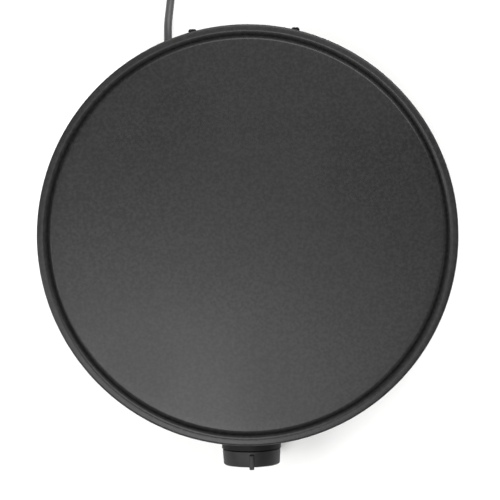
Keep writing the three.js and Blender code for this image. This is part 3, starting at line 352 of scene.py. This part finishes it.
relief_low, relief_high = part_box("strain_relief")
RELIEF_START = relief_low.y / MM - PLATE_Y
RELIEF_LENGTH = (relief_high.y - relief_low.y) / MM
RELIEF_RINGS = 5
RELIEF_NECK = (
    (0, 0, 0), (4.7, 0, 0.4), (4.7, 12.3, 0), (7.5, 12.3, 0.4), (7.5, 15, 0.8), (6, 16, 0.4))
RINGS_START, RINGS_SHY = 18.0, 3.0  # from the neck's end, and before the tip
FIRST_RING_R, RING_TAPER = 5.9, 1.6
RING_OUTLINE = ((0, 0, 0.3), (0.1, 1.9, 0.3), (0.9, 2.5, 0.25), (0.95, 3.1, 0.25))
TIP_R = 4.2


def relief_profile():
    """Neck, collar, and then rings and grooves that grow smaller towards the tip."""
    profile = list(RELIEF_NECK)
    last = RELIEF_LENGTH - RINGS_SHY
    for ring in range(RELIEF_RINGS):
        start = RINGS_START + (last - RINGS_START) * ring / RELIEF_RINGS
        radius = FIRST_RING_R - RING_TAPER * ring / RELIEF_RINGS
        profile += [
            (radius - inward, start + along, rounding) for inward, along, rounding in RING_OUTLINE]
    return profile + [
        (TIP_R, last, 0.3), (TIP_R, RELIEF_LENGTH - 1, 0.5), (TIP_R - 0.6, RELIEF_LENGTH, 0),
        (0, RELIEF_LENGTH, 0)]


relief_place = (
    Matrix.Translation(from_axis(OUTLET[0], RELIEF_START, OUTLET[2]))
    @ Matrix.Rotation(-math.pi / 2, 4, "X"))
add_piece(
    turned(relief_profile(), 48, relief_place), "cord_sleeve", soft_pvc, "griddle", "cord_pvc",
    "strain_relief")

# ---- Cooking plate -----------------------------------------------------------------------------
# One die-cast aluminium disc with a deeper edge. A rounded channel inside the lip catches fat.
# Ribs below hold the element, and posts take the screws. The whole is sprayed with non-stick.

PLATE_TOP, PLATE_UNDER, RIB_END, EDGE_END = 72.0, 67.0, 62.0, 61.0
# Radius, height and rounding, from the middle of the underside out to the top of the edge.
PLATE_PROFILE = (
    (0, PLATE_UNDER, 0), (73.1, PLATE_UNDER, 0.6), (73.1, RIB_END, 0.5), (76.1, RIB_END, 0.5),
    (76.1, PLATE_UNDER, 0), (83.9, PLATE_UNDER, 0), (83.9, RIB_END, 0.5), (86.9, RIB_END, 0.5),
    (86.9, PLATE_UNDER, 0.6), (115, PLATE_UNDER, 0), (146, PLATE_UNDER, 1.5), (146, EDGE_END, 0.6),
    (150, EDGE_END, 1.0), (150, PLATE_TOP, 1.5),
)
TOP_RINGS = (132, 100, 66, 33, 0)
CHANNEL_MIDDLE, CHANNEL_WIDTH, CHANNEL_DEPTH = 142.4, 7.0, 2.8
CHANNEL_SHOULDER = 2.0  # above 1, the channel's edges are rounded
CHANNEL_STEPS = 20
PLATE_STEPS = 256
POST_COUNT = 4
POST_RING, POST_D, POST_END = 99.0, 12.0, 48.0
SCREW_BOSS_R, SCREW_BOSS_END = 4.0, 60.1
SCREW_BOSSES = ((90, 52), (210, 52), (330, 52), (172, 99))  # degrees round, and out from the axis
ROOT = PLATE_UNDER + 0.8  # posts and bosses start inside the casting
ROD_EDGE_R = 0.5


def plate_section():
    """The plate's section, with the channel between its lip and the cooking surface."""
    channel = []
    for step in range(CHANNEL_STEPS + 1):
        across = 1 - 2 * step / CHANNEL_STEPS
        deep = CHANNEL_DEPTH * (1 - abs(across)) ** CHANNEL_SHOULDER
        channel.append((CHANNEL_MIDDLE + CHANNEL_WIDTH / 2 * across, PLATE_TOP - deep, 0))
    return [*PLATE_PROFILE, *channel, *((radius, PLATE_TOP, 0) for radius in TOP_RINGS)]


plate = turned(plate_section(), PLATE_STEPS, Matrix.Translation(from_axis(0, 0, 0)))


def add_rod(shape, radius, low, high, place):
    """Adds an upright rod with a rounded lower edge to a shape, sizes in mm."""
    rod = bmesh.ops.create_cone(
        shape, cap_ends=True, segments=32, radius1=radius * MM, radius2=radius * MM,
        depth=(high - low) * MM,
        matrix=Matrix.Translation(from_axis(place[0], place[1], (low + high) / 2)))
    lowest = low * MM + 1e-6
    edges = {e for v in rod["verts"] for e in v.link_edges if all(w.co.z < lowest for w in e.verts)}
    bmesh.ops.bevel(
        shape, geom=list(edges), offset=ROD_EDGE_R * MM, offset_type="OFFSET", segments=3, profile=0.5,
        affect="EDGES", material=-1)


for post in range(POST_COUNT):
    post_angle = (post + 0.5) * FULL_TURN / POST_COUNT
    post_place = (POST_RING * math.cos(post_angle), POST_RING * math.sin(post_angle))
    add_rod(plate, POST_D / 2, POST_END, ROOT, post_place)
for boss_deg, boss_ring in SCREW_BOSSES:
    boss_angle = math.radians(boss_deg)
    boss_place = (boss_ring * math.cos(boss_angle), boss_ring * math.sin(boss_angle))
    add_rod(plate, SCREW_BOSS_R, SCREW_BOSS_END, ROOT, boss_place)

# Sprayed PTFE over blasted aluminium: dark grey, satin, an orange-peel skin of about 1.5 mm
# with fine pigment specks, and slow drifts of tone where the gun has passed.
nonstick, skin = bare_material("sprayed_nonstick")
drift = add_node(nonstick, "ShaderNodeTexNoise", {
    "Vector": skin, "Scale": 1 / (95 * MM), "Detail": 2.0, "Roughness": 0.45})
base_tone = add_node(nonstick, "ShaderNodeMix", {
    0: drift.outputs[0], 6: srgb("#0e0e0e"), 7: srgb("#161616")}, data_type="RGBA")
specks = add_node(nonstick, "ShaderNodeTexNoise", {
    "Vector": skin, "Scale": 1 / (2.2 * MM), "Detail": 2.0, "Roughness": 0.5})
speck_amount = add_node(nonstick, "ShaderNodeMapRange", {
    "Value": specks.outputs[0], 1: 0.36, 2: 0.72, 3: 0.0, 4: 1.0})
speckled = add_node(nonstick, "ShaderNodeMix", {
    0: speck_amount.outputs[0], 6: base_tone.outputs[2], 7: srgb("#202020")}, data_type="RGBA")
peel = add_node(nonstick, "ShaderNodeTexNoise", {
    "Vector": skin, "Scale": 1 / (2.4 * MM), "Detail": 2.0, "Roughness": 0.5})
peel_relief = add_node(nonstick, "ShaderNodeBump", {
    "Height": peel.outputs[0], "Distance": 0.035 * MM, "Strength": 1.0})
satin = add_node(nonstick, "ShaderNodeMapRange", {
    "Value": drift.outputs[0], 1: 0.35, 2: 0.65, 3: 0.38, 4: 0.43})
coat = add_node(nonstick, "ShaderNodeBsdfPrincipled", {
    "Base Color": speckled.outputs[2], "Roughness": satin.outputs[0],
    "Normal": peel_relief.outputs[0], "IOR": 1.35})
add_node(nonstick, "ShaderNodeOutputMaterial", {"Surface": coat.outputs[0]})

add_piece(plate, "coated_plate", nonstick, "griddle", "coated_plate", "cooking_plate")

# ---- Base shell --------------------------------------------------------------------------------
# One moulding in black heat-resistant plastic: a bowl with a flat floor and sloping side, the
# knob's boss at the front, two lugs and the lead's outlet at the rear, and vents in its floor.

BASE_EDGE_R = 0.35
BASE_EDGE_DEG = 30  # an edge that turns by more than this is rounded
FLAT_WITHIN_DEG = 0.6


def softened(node_name, name, finish, body, slot, angle_deg, width):
    """A copy of a moulded part with its flat faces joined and its edges rounded."""
    shape = bmesh.new()
    shape.from_mesh(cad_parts[node_name].data)
    bmesh.ops.remove_doubles(shape, verts=shape.verts[:], dist=2e-6)
    bmesh.ops.dissolve_limit(
        shape, angle_limit=math.radians(FLAT_WITHIN_DEG), verts=shape.verts[:], edges=shape.edges[:])
    piece = add_piece(shape, name, finish, body, slot, node_name)
    rounding = piece.modifiers.new("soft_edges", "BEVEL")
    rounding.width = width * MM
    rounding.segments = 2
    rounding.limit_method = "ANGLE"
    rounding.angle_limit = math.radians(angle_deg)
    rounding.harden_normals = True
    return piece


# Glass-filled polyamide, spark-eroded tool: near black, matt, with a fine leathery grain.
grained_plastic = mottled(
    "grained_plastic", ("#0e0e0e", "#161616"), 30, 0.55, 0.05, (0.55, 0.7),
    **{"Specular IOR Level": 0.14})
softened(
    "base_shell", "moulded_base", grained_plastic, "griddle", "base_plastic", BASE_EDGE_DEG,
    BASE_EDGE_R)

# ---- Feet --------------------------------------------------------------------------------------
# Four rubber discs. The stem of each is pulled through the floor and holds behind its barb.

FOOT_COUNT = 4
FOOT_RING = 92.0
FOOT_PROFILE = (
    (0, 0.6, 0), (6.5, 0.6, 0.2), (7.2, 0, 0.2), (9, 0, 0.7), (10, 1, 0.5), (9.4, 5.7, 0.5),
    (2.7, 5.7, 0), (2.7, 8.8, 0), (3.8, 9.2, 0.2), (2.2, 12.5, 0.5), (0, 12.5, 0),
)

# Moulded rubber: dull black, with a dusty bloom.
matt_rubber = mottled("matt_rubber", ("#101010", "#1d1c1c"), 4, 0.3, 0.02, (0.78, 0.95))

for foot in range(FOOT_COUNT):
    foot_angle = foot * FULL_TURN / FOOT_COUNT
    foot_place = Matrix.Translation(from_axis(
        FOOT_RING * math.cos(foot_angle), FOOT_RING * math.sin(foot_angle), 0))
    add_piece(
        turned(FOOT_PROFILE, 48, foot_place), f"rubber_foot_{foot + 1}", matt_rubber, "griddle",
        "foot_rubber", f"foot_{foot + 1}")

# ---- Knob --------------------------------------------------------------------------------------
# A hollow moulded knob with a grip ridge that runs over its edge and down its face. A hub inside
# is pushed on the thermostat's shaft. The ridge carries a white line, and dots mark the settings.

KNOB_Z = 36.0
KNOB_BACK_Y = -156.3
KNOB_FACE = 11.3  # from the knob's back, as are the ridge's depths
KNOB_PROFILE = (
    (0, 1.5, 0), (6, 1.5, 0.3), (6, 8.3, 0.5), (19, 8.3, 0.5), (19, 0, 0.3), (21.2, 0, 0.4),
    (20.6, KNOB_FACE, 1.3), (16, KNOB_FACE, 0), (0, KNOB_FACE, 0),
)
# The ridge is two bars: one over the knob's edge, and one down its face.
RIDGE_HALF_W, RIDGE_EDGE_R = 1.7, 0.6
RIDGE_TOP, RIDGE_END = 23.4, 0.4
RIDGE_FACE, RIDGE_BACK = 12.7, 2.0
OVER_EDGE_END, DOWN_FACE_START, DOWN_FACE_BACK = 16.0, 17.5, 9.0
INSET = 0.02  # keeps the faces of the two bars apart
LINE_HALF_W, LINE_START, LINE_END, LINE_PROUD = 0.35, 6.0, 21.5, 0.05
SETTINGS, SETTING_DEG = 6, 54
DOT_RING = 16.6
DOT_R, DOT_GROWTH = 0.35, 0.13  # each dot is larger than the one before
DOT_TAPER, DOT_THICK = 0.02, 0.15
ON_SHAFT = (
    Matrix.Translation(from_axis(0, KNOB_BACK_Y, KNOB_Z))
    @ Matrix.Rotation(math.pi / 2, 4, "X"))


def add_bar(shape, low, high, rounding):
    """Adds a block with rounded edges between two corners in mm."""
    middle = [(a + b) / 2 * MM for a, b in zip(low, high)]
    size = [(b - a) * MM for a, b in zip(low, high)]
    bar = bmesh.ops.create_cube(
        shape, size=1, matrix=Matrix.Translation(middle) @ Matrix.Diagonal((*size, 1)))
    edges = {e for v in bar["verts"] for e in v.link_edges}
    bmesh.ops.bevel(
        shape, geom=list(edges), offset=rounding * MM, offset_type="OFFSET", segments=4,
        profile=0.5, affect="EDGES", material=-1)


# Phenolic, polished tool: black with a satin gloss and a trace of flow in the surface.
satin_phenolic = mottled(
    "satin_phenolic", ("#151516", "#1d1d1e"), 12, 0.45, 0.02, (0.46, 0.58),
    **{"Specular IOR Level": 0.28})

knob_shape = turned(KNOB_PROFILE, 96)
add_bar(
    knob_shape, (-RIDGE_HALF_W, OVER_EDGE_END, RIDGE_BACK),
    (RIDGE_HALF_W, RIDGE_TOP, RIDGE_FACE), RIDGE_EDGE_R)
add_bar(
    knob_shape, (-RIDGE_HALF_W + INSET, RIDGE_END, DOWN_FACE_BACK),
    (RIDGE_HALF_W - INSET, DOWN_FACE_START, RIDGE_FACE - INSET), RIDGE_EDGE_R)
bmesh.ops.transform(knob_shape, verts=knob_shape.verts[:], matrix=ON_SHAFT)
add_piece(knob_shape, "control_knob", satin_phenolic, "knob", "knob_plastic", "knob")

# Pad-printing ink: an even white, a hair proud of the plastic.
white_ink = mottled("white_ink", ("#cfcfca", "#e4e4df"), 2, 0.3, 0.004, (0.5, 0.62))
marks = bmesh.new()
add_bar(
    marks, (-LINE_HALF_W, LINE_START, RIDGE_FACE - 2 * LINE_PROUD),
    (LINE_HALF_W, LINE_END, RIDGE_FACE + LINE_PROUD), 0.04)
for setting in range(1, SETTINGS):
    dot_angle = math.radians(90 - SETTING_DEG * setting)
    dot_r = DOT_R + DOT_GROWTH * setting
    bmesh.ops.create_cone(
        marks, cap_ends=True, segments=24, radius1=dot_r * MM,
        radius2=(dot_r - DOT_TAPER) * MM, depth=DOT_THICK * MM,
        matrix=Matrix.Translation((
            DOT_RING * math.cos(dot_angle) * MM, DOT_RING * math.sin(dot_angle) * MM,
            KNOB_FACE * MM)))
bmesh.ops.transform(marks, verts=marks.verts[:], matrix=ON_SHAFT)
add_piece(marks, "knob_marks", white_ink, "knob", "nylon")

# ---- Pilot lamps -------------------------------------------------------------------------------
# Two neon lamps behind moulded lenses in the side of the base: red for power at the left of the
# knob, green for ready at its right. Each lens is pushed in from inside and held by its flange.

LENS_EDGE_R = 0.25
LENS_EDGE_DEG = 25
PEBBLE, PEBBLE_DEPTH = 0.9, 0.05
# node, slot, and the colour over the middles and the edges of the pebbles
LAMPS = (
    ("power", "red_lens", "#c22418", "#7d120c"),
    ("ready", "green_lens", "#2c9a4a", "#12602a"),
)


def moulded_lens(name, colour, deep):
    """Clear tinted polycarbonate with a pebbled inner face that spreads the light."""
    material, place = bare_material(name)
    pebbles = add_node(material, "ShaderNodeTexVoronoi", {
        "Vector": place, "Scale": 1 / (PEBBLE * MM)})
    tint = add_node(material, "ShaderNodeMix", {
        0: pebbles.outputs["Distance"], 6: srgb(colour), 7: srgb(deep)}, data_type="RGBA")
    relief = add_node(material, "ShaderNodeBump", {
        "Height": pebbles.outputs["Distance"], "Distance": PEBBLE_DEPTH * MM, "Strength": 0.5})
    surface = add_node(material, "ShaderNodeBsdfPrincipled", {
        "Base Color": tint.outputs[2], "Roughness": 0.12, "Normal": relief.outputs[0],
        "IOR": 1.58, "Transmission Weight": 0.55})
    add_node(material, "ShaderNodeOutputMaterial", {"Surface": surface.outputs[0]})
    return material


# Glass and neon: pale, smooth, with a faint smoky tip.
lamp_glass = mottled(
    "lamp_glass", ("#cfc6b8", "#efe9df"), 5, 0.6, 0.004, (0.08, 0.16),
    **{"Transmission Weight": 0.4})


def dress(finish, *node_names):
    """Gives parts that keep their own shape their finish."""
    for node_name in node_names:
        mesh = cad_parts[node_name].data
        mesh.materials.clear()
        mesh.materials.append(finish)


for lamp_name, lens_slot, colour, deep in LAMPS:
    dress(lamp_glass, f"{lamp_name}_lamp")
    softened(
        f"{lamp_name}_lens", f"{lamp_name}_window",
        moulded_lens(f"{lamp_name}_lens_tint", colour, deep), "griddle", lens_slot,
        LENS_EDGE_DEG, LENS_EDGE_R)

# ---- Heating element and reflector -------------------------------------------------------------
# A steel-sheathed ring lies between the plate's ribs, its ends turned down to two pins. A bright
# steel sheet below it throws the heat up.

# Chromium-nickel sheath, annealed and swaged: dull grey with straw and blue heat tints.
annealed_sheath = mottled(
    "annealed_sheath", ("#4c4a48", "#7b746a"), 18, 0.8, 0.02, (0.42, 0.6), Metallic=1.0)
# Cold-rolled sheet steel, bright annealed: clean grey with a fine rolled grain.
bright_steel = mottled(
    "bright_steel", ("#9d9fa1", "#b9bbbc"), 25, 0.4, 0.008, (0.24, 0.38), Metallic=1.0)
# Zinc-plated and passivated: pale, slightly blue, dulled in patches.
zinc_plate = mottled(
    "zinc_plate", ("#a2a8ad", "#c3c7c9"), 2, 0.3, 0.01, (0.3, 0.45), Metallic=1.0)
dress(annealed_sheath, "heating_element")
dress(bright_steel, "heat_reflector")
dress(
    zinc_plate, "element_pin_1", "element_pin_2", "reflector_screw_1", "reflector_screw_2",
    "reflector_screw_3")

# ---- Thermostat --------------------------------------------------------------------------------
# A phenolic switch body on a bent steel bracket. Its copper bulb is clipped under the plate and
# joined to it by a capillary tube, and its steel shaft carries the knob.

# Wood-flour filled phenolic: dark brown, pressed, half matt.
pressed_phenolic = mottled("pressed_phenolic", ("#2c1e16", "#402d22"), 6, 0.4, 0.02, (0.45, 0.62))
# Drawn copper: warm, already dulled to brown in patches.
drawn_copper = mottled(
    "drawn_copper", ("#8e5233", "#bd7a4e"), 9, 0.4, 0.01, (0.28, 0.45), Metallic=1.0)
# Hardened spring strip: grey with a blue cast.
spring_strip = mottled(
    "spring_strip", ("#6a6e74", "#8d9196"), 5, 0.3, 0.006, (0.3, 0.42), Metallic=1.0)
dress(pressed_phenolic, "thermostat_body")
dress(bright_steel, "thermostat_bracket", "thermostat_shaft")
dress(drawn_copper, "thermostat_bulb", "capillary_tube")
dress(spring_strip, "bulb_clip", "knob_clip")
dress(zinc_plate, "bracket_screw_1", "bracket_screw_2")

# ---- Thermal fuse ------------------------------------------------------------------------------
# A metal-cased cut-out under the plate, held by a spring clip.

# Tinned brass case: soft, bright and a little uneven.
tinned_case = mottled(
    "tinned_case", ("#a8a59c", "#c6c3ba"), 4, 0.3, 0.006, (0.28, 0.4), Metallic=1.0)
dress(tinned_case, "thermal_fuse")
dress(spring_strip, "fuse_clip")

# ---- Plate screws and spacers ------------------------------------------------------------------
# Four screws come up through the base's posts into the plate's, with a mica washer at each.

# Pressed mica: flaky, silvery brown, half gloss.
pressed_mica = mottled("pressed_mica", ("#8f8263", "#c4b895"), 3, 0.5, 0.02, (0.45, 0.7))
for post_number in range(1, POST_COUNT + 1):
    dress(pressed_mica, f"plate_spacer_{post_number}")
    dress(zinc_plate, f"plate_screw_{post_number}")

# ---- Cord clamp, terminal block and wires ------------------------------------------------------
# The lead's sheath is clamped inside the base. Its three wires go to a nylon block, and from
# there to the thermostat, the fuse, the element and the plate's earth screw.

# Silicone-rubber sleeving: an even colour under a slight dust.
brown_sleeve = mottled("brown_sleeve", ("#452617", "#5e3824"), 8, 0.4, 0.015, (0.5, 0.68))
blue_sleeve = mottled("blue_sleeve", ("#1f4684", "#2f63ad"), 8, 0.4, 0.015, (0.5, 0.68))
green_yellow_sleeve = mottled(
    "green_yellow_sleeve", ("#3f7a24", "#c5b52a"), 3, 0.4, 0.015, (0.5, 0.68))
dress(soft_pvc, "cord_inner_end")
dress(natural_nylon, "cord_clamp", "terminal_block")
dress(zinc_plate, "clamp_screw_1", "clamp_screw_2", "block_screw", "earth_screw")
dress(brown_sleeve, "conductor_live", "wire_live", "wire_switched", "wire_fused")
dress(blue_sleeve, "conductor_neutral", "wire_neutral")
dress(green_yellow_sleeve, "conductor_earth", "wire_earth")
